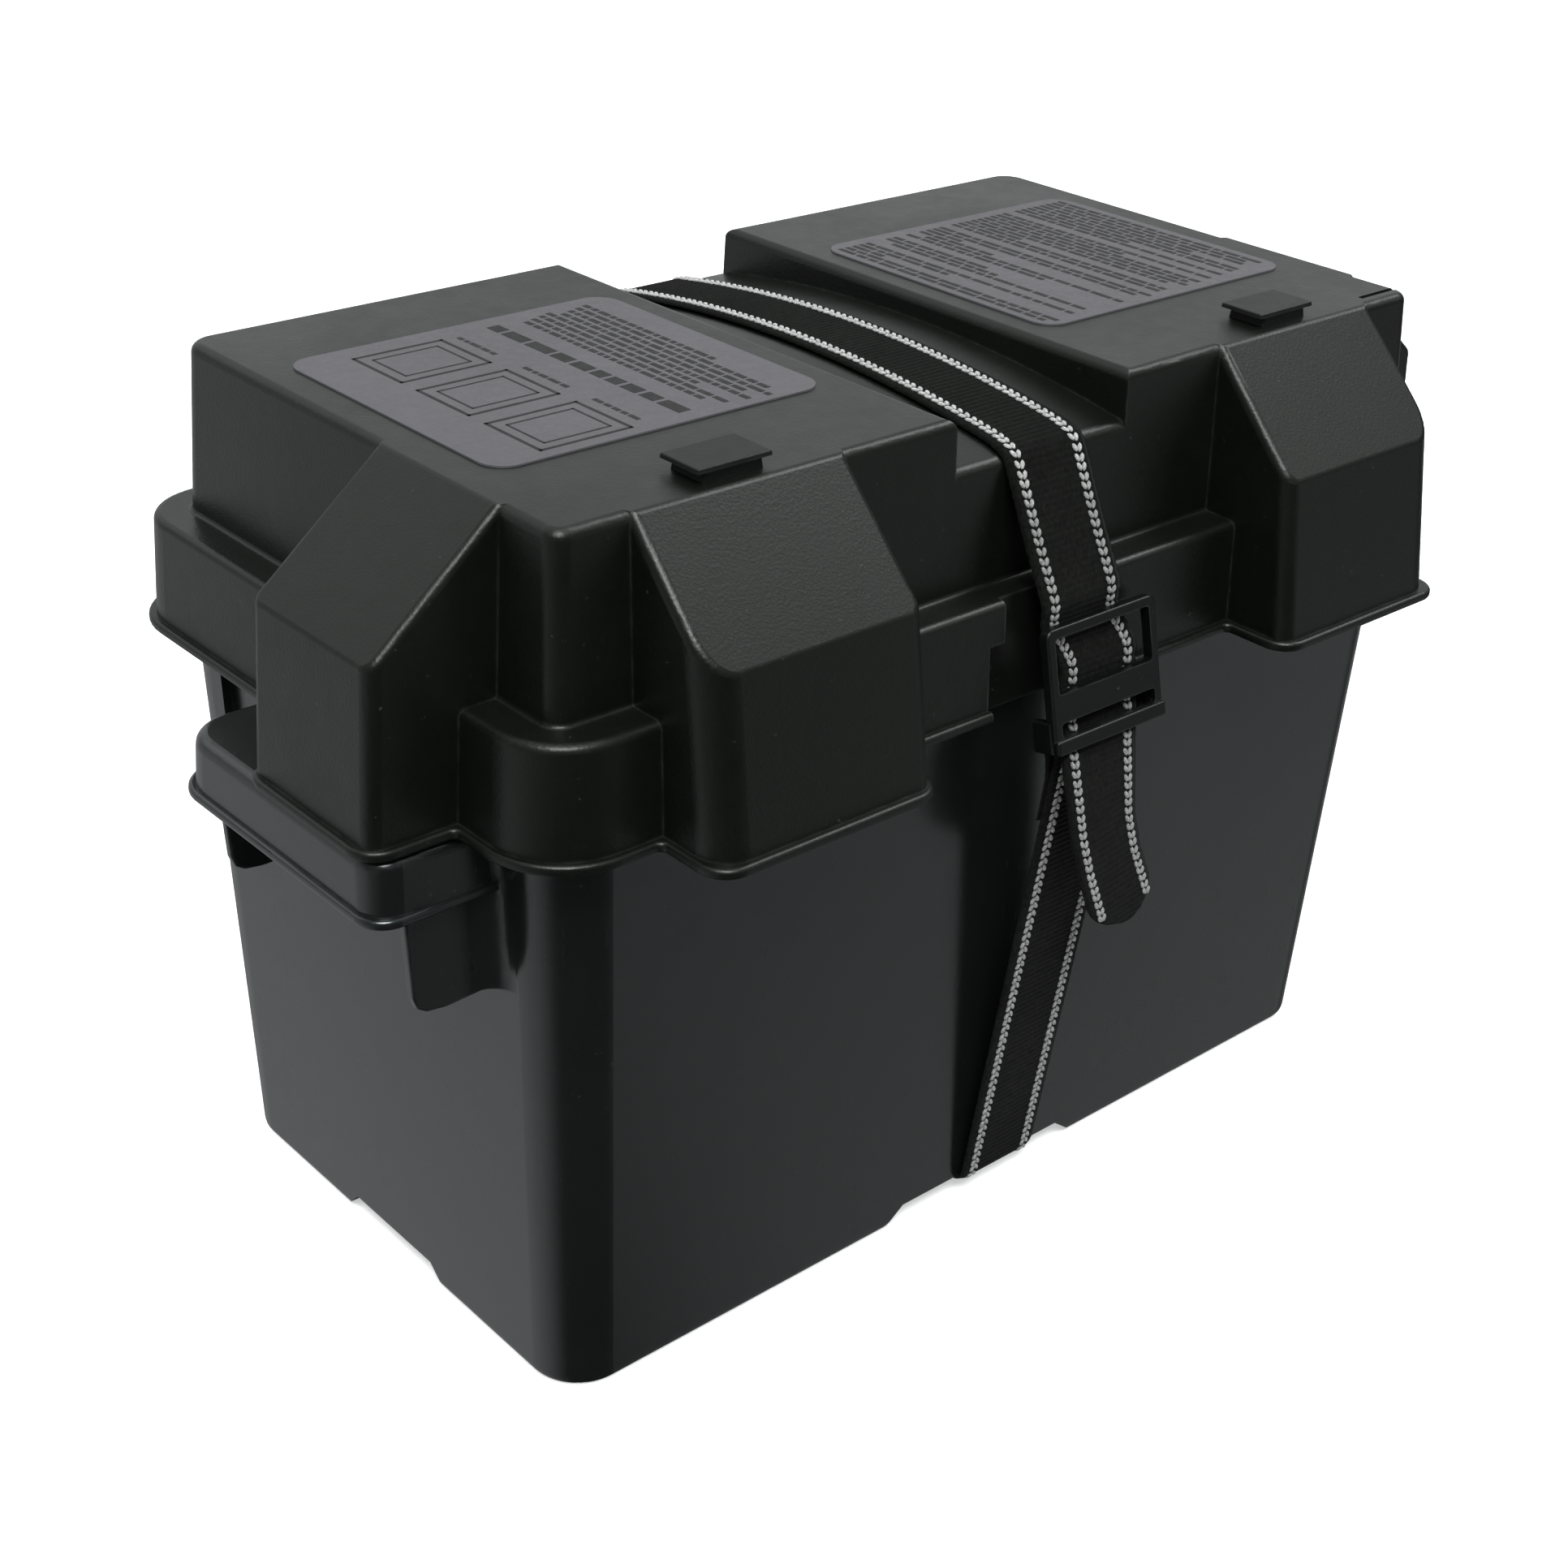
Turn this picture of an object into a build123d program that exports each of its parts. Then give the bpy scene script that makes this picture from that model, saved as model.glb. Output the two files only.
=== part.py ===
from build123d import *
import math
import os

# Vented snap-top battery box for one large 12 V lead-acid battery, with its strap,
# buckle and battery spacer. Millimetres. X runs along the box, -Y is the front
# (buckle side), +Z is up. The parts are drawn about the tub's centre, on its resting
# plane z = 0, and moved along Y when saved.

# ---- tub ------------------------------------------------------------------
TUB_HALF_X = 172.0            # half length at the resting plane
TUB_HALF_Y = 92.8             # half width at the resting plane
TUB_RADIUS = 17.0             # vertical corner radius
DRAFT = 0.0338                # outward slope of the tub walls (about 1.9 degrees)
TUB_TOP = 221.2               # height of the open rim
WALL = 3.0
FLOOR = 3.0
CHANNEL_DEPTH = 7.0           # channels pressed into the underside
CROSS_CHANNEL = (45.0, 36.0)  # half widths at z = 0 and at the roof; runs along Y
LONG_CHANNEL = (28.0, 21.0)   # the same for the channel along X
CHANNEL_REACH_X, CHANNEL_REACH_Y = 230.0, 130.0   # cutter half lengths, past the walls

# hand-grip flanges at both ends, with fins and webs below them
GRIP_X = 215.6
GRIP_Y = (-72.0, 30.0)
GRIP_TOP, GRIP_LOW = 189.0, 170.0
GRIP_RADII = (9.0, 15.0)      # outer corners, front and back
GRIP_ROOT = 165.0             # flanges start inside the tub wall
FIN_Y = (-68.8, 26.8)
FIN_THICK = 3.0
FIN_BOTTOM = 138.0
FIN_ROOT = 168.0
WEB_RADIUS = 8.0
WEB_TOP = 186.0

# ---- lid ------------------------------------------------------------------
TOP_Z = 276.7                 # flat top of the lid
LEDGE_Z = 224.6               # flat ledge above the skirt
RIM_Z = 189.3                 # bottom edge of the skirt
TOP_HALF_X, TOP_HALF_Y = 172.2, 92.1       # plateau at the top
FOOT_HALF_X, FOOT_HALF_Y = 174.9, 94.8     # plateau at the ledge
TOP_RADIUS_FRONT, TOP_RADIUS_BACK = 5.5, 9.0
SKIRT_HALF_X, SKIRT_HALF_Y, SKIRT_RADIUS = 186.7, 106.6, 21.6   # at the ledge
RIM_HALF_X, RIM_HALF_Y, RIM_RADIUS = 188.6, 108.5, 23.0         # at the rim
LID_WALL = 2.8
BEAD_OUT, BEAD_HEIGHT = 2.2, 3.2

# cable housings: two on the front, one on each end; the sloped roof of each runs
# from the plateau's top edge down to the knee
KNEE_Z = 242.4
HOUSING_FLARE = 0.8           # each side spreads by this from knee to rim
FRONT_HOUSING_X = (75.7, 149.6)
FRONT_KNEE, FRONT_RIM = 125.0, 132.1       # reach towards -Y
FRONT_ROOT = 70.0
FRONT_RADII = (5.0, 10.0)     # corners nearest to and farthest from x = 0
END_HOUSING_Y = (-69.6, -13.0)
END_KNEE, END_RIM = 212.7, 215.9           # reach along X
END_ROOT = 150.0
END_RADIUS = 4.2
BEAD_HOUSING_RADIUS = 7.0

# crowned strap channel over the top, and its grooves down the skirt
STRAP_CHANNEL_HALF = 35.0
CHANNEL_EDGE_Z, CHANNEL_MID_Z = 261.5, 269.5
NOSE_RADIUS = 3.6
GROOVE_X = (-25.0, 20.0)
POCKET_X = (-31.0, 26.0)      # wider lower part of the groove
POCKET_TOP = 212.0
GROOVE_Y = 103.4
GROOVE_WALL = 2.5

# ---- cleats and labels on the lid top ---------------------------------------
CLEAT_X, CLEAT_Y = 111.8, -80.3
LABEL_X, LABEL_Y = (45.5, 160.0), (-50.0, 55.0)
LABEL_THICK = 0.5
LABEL_RADIUS = 8.0

# ---- strap ----------------------------------------------------------------
STRAP_X = 2.0                 # centre line over the lid
STRAP_X_LOW = 6.0             # below the buckle, where it sits a little askew
STRAP_X_TAIL = 8.0
STRAP_WIDTH = 34.0
STRAP_THICK = 1.6
STRAP_LIFT = STRAP_THICK / 2 + 0.25        # centre line above the channel floor

# ---- buckle ---------------------------------------------------------------
BUCKLE_CENTRE = (7.8, -116.6, 196.4)
BUCKLE_TILT = math.radians(13.0)           # leans out at the bottom
BUCKLE_HALF_W, BUCKLE_HALF_H = 47.0 / 2, 38.0 / 2
ANCHOR_UP = -BUCKLE_HALF_H + 2.6           # anchor bar, in the buckle's own plane
ANCHOR_OUT = -5.0

# ---- battery spacer -------------------------------------------------------
SPACER_X = -109.0
SPACER_THICK = 2.6
SPACER_TOP = 160.0
SPACER_SIDE_GAP = 0.8
GUIDE_THICK, GUIDE_HEIGHT, GUIDE_GAP = 2.2, 4.0, 0.35
GUIDE_TOP = 168.0

# puts y = 0 in the middle of the whole depth, housings and rim included
Y_SHIFT = (FRONT_RIM - RIM_HALF_Y) / 2

os.makedirs("parts", exist_ok=True)


# ---------------------------------------------------------------------------
# helpers
# ---------------------------------------------------------------------------
def rounded_wire(x0, x1, y0, y1, radii, z):
    """Rectangle with rounded corners. radii is one number, or one per corner in the
    order x0y0, x1y0, x1y1, x0y1; a radius of 0 is a sharp corner."""
    if not isinstance(radii, tuple):
        radii = (radii,) * 4
    # corner x, y, radius and the direction in which its incoming side runs
    corners = [(x1, y0, radii[1], 1, 0), (x1, y1, radii[2], 0, 1),
               (x0, y1, radii[3], -1, 0), (x0, y0, radii[0], 0, -1)]
    edges = []
    at = (x0 + radii[0], y0, z)
    for x, y, radius, dx, dy in corners:
        start = (x - radius * dx, y - radius * dy, z)
        edges.append(Edge.make_line(at, start))
        at = start
        if radius > 0:
            sag = radius * (1 - math.cos(math.pi / 4))
            middle = (x - sag * (dx + dy), y + sag * (dx - dy), z)
            at = (x - radius * dy, y + radius * dx, z)
            edges.append(Edge.make_three_point_arc(start, middle, at))
    return Wire(edges)


def centred(half_x, half_y, radii, z):
    """Section (x0, x1, y0, y1, radii, z) centred on the Z axis."""
    return (-half_x, half_x, -half_y, half_y, radii, z)


def end_section(side, root, reach, y_range, front_radius, back_radius, z):
    """Section from |x| = root out to reach, rounded at its outer corners only."""
    if side < 0:
        return (-reach, -root, *y_range, (front_radius, 0, 0, back_radius), z)
    return (root, reach, *y_range, (0, front_radius, back_radius, 0), z)


def prism(low, high):
    """Ruled solid between two sections (x0, x1, y0, y1, radii, z)."""
    return Solid.make_loft([rounded_wire(*low), rounded_wire(*high)], ruled=True)


def slab(x0, x1, y0, y1, z0, z1):
    centre = Pos((x0 + x1) / 2, (y0 + y1) / 2, (z0 + z1) / 2)
    return centre * Box(x1 - x0, y1 - y0, z1 - z0)


def yz_prism(points, x0, x1):
    """Closed polygon in Y-Z, extruded along X."""
    outline = Wire.make_polygon([(x0, y, z) for y, z in points], close=True)
    return Solid.extrude(Face(outline), Vector(x1 - x0, 0, 0))


def xz_prism(points, y0, y1):
    """Closed polygon in X-Z, extruded along Y."""
    outline = Wire.make_polygon([(x, y0, z) for x, z in points], close=True)
    return Solid.extrude(Face(outline), Vector(0, y1 - y0, 0))


def trapezoid(half_low, z_low, half_high, z_high):
    return [(-half_low, z_low), (-half_high, z_high), (half_high, z_high), (half_low, z_low)]


def soften(part, edges, radii):
    """Round the edges with the first radius of the list that works."""
    edges = list(edges)
    if not edges:
        return part
    for radius in radii:
        # a fillet too large for its neighbours raises; the next radius is then tried
        try:
            rounded = part.fillet(radius, edges)
            if rounded.is_valid and rounded.volume > 0:
                return rounded
        except Exception:
            pass
    return part


def solid_of(part):
    """The largest solid of a boolean result."""
    return max(part.solids(), key=lambda solid: solid.volume)


def bottom_edges(part):
    return part.faces().sort_by(Axis.Z)[0].edges()


def top_edges(part):
    return part.faces().sort_by(Axis.Z)[-1].edges()


def save(shape, name):
    shape = Pos(0, Y_SHIFT, 0) * shape
    shape.label = name
    export_step(shape, f"parts/{name}.step")


def tub_half(z, wall=0.0):
    """Half length and half width of the tub at height z, drawn in by wall."""
    return TUB_HALF_X - wall + DRAFT * z, TUB_HALF_Y - wall + DRAFT * z


def channel_floor_z(y):
    """Crowned floor of the strap channel."""
    return CHANNEL_MID_Z - (CHANNEL_MID_Z - CHANNEL_EDGE_Z) * (y / 92.0) ** 2


# ---------------------------------------------------------------------------
# lid
# ---------------------------------------------------------------------------
def roof_profile(top_half, knee, inset):
    """Region above a housing roof, as (distance outwards, z) points."""
    run, fall = knee - top_half, TOP_Z - KNEE_Z
    length = math.hypot(run, fall)
    along = (run / length, -fall / length)
    normal = (fall / length, run / length)
    start = (top_half - normal[0] * inset, TOP_Z - normal[1] * inset)
    upper = (start[0] - along[0] * 60, start[1] - along[1] * 60)
    lower = (start[0] + along[0] * 120, start[1] + along[1] * 120)
    return [upper, lower,
            (lower[0] + normal[0] * 90, lower[1] + normal[1] * 90),
            (upper[0] + normal[0] * 90, upper[1] + normal[1] * 90)]


def front_housing(side, inset, bottom):
    def section(z):
        share = (KNEE_Z - z) / (KNEE_Z - RIM_Z)     # 0 at the knee, 1 at the rim
        spread = HOUSING_FLARE * share - inset
        front = -(FRONT_KNEE + (FRONT_RIM - FRONT_KNEE) * share) + inset
        near_x, far_x = FRONT_HOUSING_X[0] - spread, FRONT_HOUSING_X[1] + spread
        near_radius, far_radius = (max(radius - inset, 1.5) for radius in FRONT_RADII)
        if side < 0:
            return (-far_x, -near_x, front, -FRONT_ROOT, (far_radius, near_radius, 0, 0), z)
        return (near_x, far_x, front, -FRONT_ROOT, (near_radius, far_radius, 0, 0), z)

    above = [(-out, z) for out, z in roof_profile(TOP_HALF_Y, FRONT_KNEE, inset)]
    return prism(section(bottom), section(TOP_Z - inset)) - yz_prism(above, -260, 260)


def end_housing(side, inset, bottom):
    def section(z):
        share = (KNEE_Z - z) / (KNEE_Z - RIM_Z)
        spread = HOUSING_FLARE * share - inset
        reach = END_KNEE + (END_RIM - END_KNEE) * share - inset
        y_range = (END_HOUSING_Y[0] - spread, END_HOUSING_Y[1] + spread)
        radius = max(END_RADIUS - inset, 1.2)
        return end_section(side, END_ROOT, reach, y_range, radius, radius, z)

    above = [(side * out, z) for out, z in roof_profile(TOP_HALF_X, END_KNEE, inset)]
    return prism(section(bottom), section(TOP_Z - inset)) - xz_prism(above, -200, 200)


def lid_pieces(inset):
    """Plateau, skirt and housings, drawn in by inset; 0 is the outer skin. The inner
    skirt and housings run on below the rim, so that the cavity is open."""
    bottom = RIM_Z - (6.0 if inset else 0.0)
    stretch = (TOP_Z - RIM_Z) / (TOP_Z - LEDGE_Z)   # carries the plateau walls to the rim
    base_x = TOP_HALF_X + (FOOT_HALF_X - TOP_HALF_X) * stretch
    base_y = TOP_HALF_Y + (FOOT_HALF_Y - TOP_HALF_Y) * stretch
    front = max(TOP_RADIUS_FRONT - inset, 1.0)
    back = max(TOP_RADIUS_BACK - inset, 1.0)
    radii = (front, front, back, back)
    plateau = prism(centred(base_x - inset, base_y - inset, radii, RIM_Z),
                    centred(TOP_HALF_X - inset, TOP_HALF_Y - inset, radii, TOP_Z - inset))

    grow = (RIM_HALF_X - SKIRT_HALF_X) / (LEDGE_Z - RIM_Z) * (RIM_Z - bottom) - inset
    skirt = prism(centred(RIM_HALF_X + grow, RIM_HALF_Y + grow, RIM_RADIUS - inset, bottom),
                  centred(SKIRT_HALF_X - inset, SKIRT_HALF_Y - inset, SKIRT_RADIUS - inset,
                          LEDGE_Z - inset))

    fronts = [front_housing(side, inset, bottom) for side in (-1, 1)]
    ends = [end_housing(side, inset, bottom) for side in (-1, 1)]
    return plateau, skirt, fronts, ends


def strap_channel_cut(inset):
    """Everything above the crowned channel floor, grown by inset."""
    half, end, top = STRAP_CHANNEL_HALF + inset, 130, 320
    end_z = channel_floor_z(end) - inset
    outline = Wire([
        Edge.make_three_point_arc((-half, -end, end_z), (-half, 0, channel_floor_z(0) - inset),
                                  (-half, end, end_z)),
        Edge.make_line((-half, end, end_z), (-half, end, top)),
        Edge.make_line((-half, end, top), (-half, -end, top)),
        Edge.make_line((-half, -end, top), (-half, -end, end_z))])
    return Solid.extrude(Face(outline), Vector(2 * half, 0, 0))


def cut_strap_grooves(body, wall, bottom):
    """Cut the front and back skirt grooves, each grown by wall."""
    for side in (-1, 1):
        y0, y1 = sorted((side * (GROOVE_Y - wall), side * 160.0))
        body = body - slab(GROOVE_X[0] - wall, GROOVE_X[1] + wall, y0, y1, bottom, LEDGE_Z + 1.0)
        body = body - slab(POCKET_X[0] - wall, POCKET_X[1] + wall, y0, y1, bottom,
                           POCKET_TOP + wall)
    return solid_of(body)


def rounded_plateau(plateau):
    """Plateau with the strap channel cut and its upper edges rounded."""
    plateau = solid_of(plateau - strap_channel_cut(0.0))
    # ends of the channel floor, front and back
    noses = [e for e in plateau.edges()
             if abs(abs(e.center().Y) - 93.0) < 1.2
             and abs(e.center().Z - CHANNEL_EDGE_Z) < 1.2 and abs(e.center().X) < 20]
    plateau = soften(plateau, noses, (NOSE_RADIUS, 2.6, 1.6))
    # upright edges where the channel sides meet the front and back walls
    posts = [e for e in plateau.edges()
             if abs(abs(e.center().X) - STRAP_CHANNEL_HALF) < 0.2
             and abs(abs(e.center().Y) - 92.5) < 1.0
             and e.center().Z > 264 and e.length > 6]
    plateau = soften(plateau, posts, (2.2, 1.6, 1.0))
    rims = [e for f in plateau.faces() if abs(f.center().Z - TOP_Z) < 0.05 for e in f.edges()]
    return soften(plateau, rims, (3.0, 2.4, 1.6, 1.0))


def rounded_housing(housing, radii):
    """Housing with the edges of its sloped roof rounded."""
    housing = solid_of(housing)
    roof = [e for f in housing.faces() if 0.2 < f.normal_at().Z < 0.95 for e in f.edges()]
    return soften(housing, roof, radii)


def rim_bead():
    """Bead round the foot of the skirt and housings."""
    outline = RectangleRounded(2 * RIM_HALF_X, 2 * RIM_HALF_Y, RIM_RADIUS)
    # x0, x1, y0, y1 of the housings at the rim, for the +X side
    footprints = [
        (FRONT_HOUSING_X[0] - HOUSING_FLARE, FRONT_HOUSING_X[1] + HOUSING_FLARE,
         -FRONT_RIM, -FRONT_ROOT),
        (END_ROOT, END_RIM, END_HOUSING_Y[0] - HOUSING_FLARE, END_HOUSING_Y[1] + HOUSING_FLARE)]
    for side in (-1, 1):
        for x0, x1, y0, y1 in footprints:
            foot = RectangleRounded(x1 - x0, y1 - y0, BEAD_HOUSING_RADIUS)
            outline = outline + Pos(side * (x0 + x1) / 2, (y0 + y1) / 2) * foot
    # the concave corners stay sharp if the outline does not take the radius
    try:
        corners = []
        for v in outline.vertices():
            on_front = abs(v.Y + RIM_HALF_Y) < 0.3 and 60 < abs(v.X) < 160
            on_end = abs(abs(v.X) - RIM_HALF_X) < 0.3 and -80 < v.Y < 0
            if on_front or on_end:
                corners.append(v)
        outline = fillet(corners, 4.0)
    except Exception:
        pass
    band = offset(outline, amount=BEAD_OUT)
    bead = solid_of(extrude(Pos(0, 0, RIM_Z) * band, amount=BEAD_HEIGHT))
    edges = [e for e in bead.edges() if abs(e.center().Z - RIM_Z) < 0.01
             or abs(e.center().Z - RIM_Z - BEAD_HEIGHT) < 0.01]
    return soften(bead, edges, (1.3, 1.0, 0.6))


def lid_outer():
    plateau, skirt, fronts, ends = lid_pieces(0.0)
    outer = rounded_plateau(plateau) + soften(skirt, top_edges(skirt), (2.4, 1.8))
    for housing in fronts:
        outer = outer + rounded_housing(housing, (2.8, 2.2, 1.6))
    for housing in ends:
        outer = outer + rounded_housing(housing, (2.2, 1.8, 1.4))
    outer = solid_of(outer)
    outer = solid_of(outer + rim_bead())
    outer = cut_strap_grooves(outer, 0.0, RIM_Z - 10)
    # small radius where the ledge meets the plateau wall
    inner_corner = [e for e in outer.edges() if e.length > 8
                    and (abs(abs(e.center().Y) - FOOT_HALF_Y) < 0.4
                         or abs(abs(e.center().X) - FOOT_HALF_X) < 0.4)
                    and abs(e.center().Z - LEDGE_Z) < 0.3]
    return soften(outer, inner_corner, (1.4, 1.0, 0.6))


def lid_cavity():
    plateau, skirt, fronts, ends = lid_pieces(LID_WALL)
    cavity = plateau + skirt
    for housing in fronts + ends:
        cavity = cavity + housing
    cavity = solid_of(cavity)
    cavity = solid_of(cavity - strap_channel_cut(LID_WALL))
    return cut_strap_grooves(cavity, GROOVE_WALL, RIM_Z - 12)


def lid_shell():
    lid = lid_outer() - lid_cavity()
    # slots for the two cleats
    for side in (-1, 1):
        x = side * CLEAT_X
        lid = lid - slab(x - 6.2, x + 6.2, CLEAT_Y - 2.7, CLEAT_Y + 2.7, TOP_Z - 8, TOP_Z + 8)
    # short finger groove at the front right corner of the top
    lid = lid - slab(152.5, 180.0, -87.2, -85.2, TOP_Z - 1.1, TOP_Z + 3)
    return solid_of(lid)


def lid_cleat(x):
    """T-shaped keeper snapped into the lid top: plate, stem and split peg."""
    y = CLEAT_Y
    plate = prism((x - 12.7, x + 12.7, y - 8.4, y + 8.0, 0.9, TOP_Z + 3.2),
                  (x - 12.5, x + 12.5, y - 8.2, y + 7.8, 0.8, TOP_Z + 4.5))
    plate = soften(plate, top_edges(plate), (0.45, 0.3))
    stem = prism((x - 10.2, x + 10.2, y - 7.6, y + 6.4, 0.8, TOP_Z + 0.03),
                 (x - 9.8, x + 9.8, y - 7.2, y + 6.0, 0.8, TOP_Z + 3.4))
    peg = slab(x - 6.0, x + 6.0, y - 2.5, y + 2.5, TOP_Z - 6.0, TOP_Z + 0.6)
    peg = peg - slab(x - 1.0, x + 1.0, y - 4, y + 4, TOP_Z - 7.0, TOP_Z - 3.2)
    return solid_of(plate + stem + peg)


def label_panel(side):
    """Thin plate laid on the lid top."""
    x0, x1 = sorted((side * LABEL_X[0], side * LABEL_X[1]))
    y0, y1 = LABEL_Y
    return prism((x0, x1, y0, y1, LABEL_RADIUS, TOP_Z + 0.02),
                 (x0 + 0.1, x1 - 0.1, y0 + 0.1, y1 - 0.1, LABEL_RADIUS, TOP_Z + LABEL_THICK))


# ---------------------------------------------------------------------------
# tub
# ---------------------------------------------------------------------------
def channel_profile(half_widths):
    """Underside channel, its sloped sides carried on below z = 0."""
    low, high = half_widths
    return trapezoid(low + 2, -2.0 * CHANNEL_DEPTH / (low - high), high, CHANNEL_DEPTH)


def ridge_profile(half_widths):
    """Ridge on the tub floor over an underside channel."""
    low, high = half_widths
    return trapezoid(low + 2.2, 0.0, high + 1.6, CHANNEL_DEPTH + FLOOR)


def grip(side):
    """Hollow hand-grip flange, open below, with a lip round its lower edge."""
    def section(z, out, wall=0.0, root=GRIP_ROOT):
        grow = out - wall
        y_range = (GRIP_Y[0] - grow, GRIP_Y[1] + grow)
        front, back = GRIP_RADII
        return end_section(side, root, GRIP_X + grow, y_range, front - wall, back - wall, z)

    def away_from_root(edges):
        return [e for e in edges if abs(abs(e.center().X) - GRIP_ROOT) > 1.0]

    body = prism(section(GRIP_LOW, 1.0), section(GRIP_TOP, 0.0))
    body = soften(body, away_from_root(top_edges(body)), (3.6, 2.5))
    lip = prism(section(GRIP_LOW, 2.6), section(GRIP_LOW + 3.0, 2.4))
    lip_edges = list(bottom_edges(lip)) + list(top_edges(lip))
    lip = soften(lip, away_from_root(lip_edges), (1.2, 0.8))
    body = body + lip
    hollow = prism(section(GRIP_LOW - 2, 1.1, WALL, END_ROOT),
                   section(GRIP_TOP - WALL, 0.1, WALL, END_ROOT))
    return body - hollow


def grip_fin(side, fin_y):
    """Upright fin under the grip, with a rounded lower outer corner."""
    # distance from x = 0, height
    outline = [(FIN_ROOT, GRIP_TOP - 1.0), (207.2, GRIP_TOP - 1.5),
               (204.4, FIN_BOTTOM + 5.5), (203.2, FIN_BOTTOM + 2.2),
               (200.2, FIN_BOTTOM + 0.2), (196.0, FIN_BOTTOM - 0.4),
               (FIN_ROOT, FIN_BOTTOM + 1.0)]
    fin = xz_prism([(side * x, z) for x, z in outline],
                   fin_y - FIN_THICK / 2, fin_y + FIN_THICK / 2)
    edges = [e for e in fin.edges() if abs(e.center().X) > 195 and e.center().Z < 180
             and abs(abs(e.center().Y - fin_y) - FIN_THICK / 2) < 0.01]
    return soften(fin, edges, (0.8, 0.5))


def fin_web(side, fin_y):
    """Concave web between the end wall and the fin's face away from the grip's middle."""
    away = -1 if fin_y < 0 else 1
    face_y = fin_y + away * FIN_THICK / 2
    low, high = FIN_BOTTOM + 0.4, WEB_TOP
    outline = [(176.0, low), (tub_half(low)[0] + WEB_RADIUS, low),
               (tub_half(high)[0] + WEB_RADIUS, high), (176.0, high)]
    y0, y1 = sorted((face_y - away * 0.6, face_y + away * WEB_RADIUS))
    web = xz_prism([(side * x, z) for x, z in outline], y0, y1)
    circles = []
    for z in (low - 1.0, high + 1.0):
        centre = (side * (tub_half(z)[0] + WEB_RADIUS), face_y + away * WEB_RADIUS, z)
        circles.append(Wire.make_circle(WEB_RADIUS, Plane(centre)))
    return web - Solid.make_loft(circles, ruled=True)


def tub_inside():
    """Space inside the tub, less the floor ridges and spacer guide ribs."""
    top = TUB_TOP + 5
    inner = prism(centred(*tub_half(FLOOR, WALL), TUB_RADIUS - WALL, FLOOR),
                  centred(*tub_half(top, WALL), TUB_RADIUS - 1.0, top))
    inner = soften(inner, bottom_edges(inner), (3.0, 2.0))
    cross_ridge = xz_prism(ridge_profile(CROSS_CHANNEL), -CHANNEL_REACH_Y, CHANNEL_REACH_Y)
    long_ridge = yz_prism(ridge_profile(LONG_CHANNEL), -CHANNEL_REACH_X, CHANNEL_REACH_X)
    inner = solid_of(inner - cross_ridge - long_ridge)
    # a pair of guide ribs on each long wall, one either side of the spacer
    outside_y = TUB_HALF_Y + 30
    outline = [(tub_half(0, WALL)[1] - GUIDE_HEIGHT, 0.0), (outside_y, 0.0),
               (outside_y, GUIDE_TOP), (tub_half(GUIDE_TOP, WALL)[1], GUIDE_TOP),
               (tub_half(SPACER_TOP, WALL)[1] - GUIDE_HEIGHT, SPACER_TOP)]
    gap_half = SPACER_THICK / 2 + GUIDE_GAP
    for side in (-1, 1):
        for x in (SPACER_X - gap_half - GUIDE_THICK, SPACER_X + gap_half):
            inner = inner - yz_prism([(side * y, z) for y, z in outline], x, x + GUIDE_THICK)
    return solid_of(inner)


def base_tub():
    tub = prism(centred(*tub_half(0), TUB_RADIUS, 0),
                centred(*tub_half(TUB_TOP), TUB_RADIUS + 2.0, TUB_TOP))
    tub = soften(tub, bottom_edges(tub), (3.0, 2.0))
    cross = xz_prism(channel_profile(CROSS_CHANNEL), -CHANNEL_REACH_Y, CHANNEL_REACH_Y)
    lengthwise = yz_prism(channel_profile(LONG_CHANNEL), -CHANNEL_REACH_X, CHANNEL_REACH_X)
    tub = solid_of(tub - cross - lengthwise)
    # small rib on each end wall, behind the grip
    end_rib = [(FIN_ROOT, 160.0), (180.6, 163.0), (181.4, 187.0), (FIN_ROOT, 187.0)]
    for side in (-1, 1):
        tub = tub + grip(side)
        for fin_y in FIN_Y:
            tub = tub + grip_fin(side, fin_y)
            tub = tub + fin_web(side, fin_y)
        tub = tub + xz_prism([(side * x, z) for x, z in end_rib], 67.4, 70.6)
    tub = solid_of(tub - tub_inside())
    rim = [e for e in tub.edges() if abs(e.center().Z - TUB_TOP) < 0.01]
    return soften(tub, rim, (1.0, 0.6))


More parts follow.
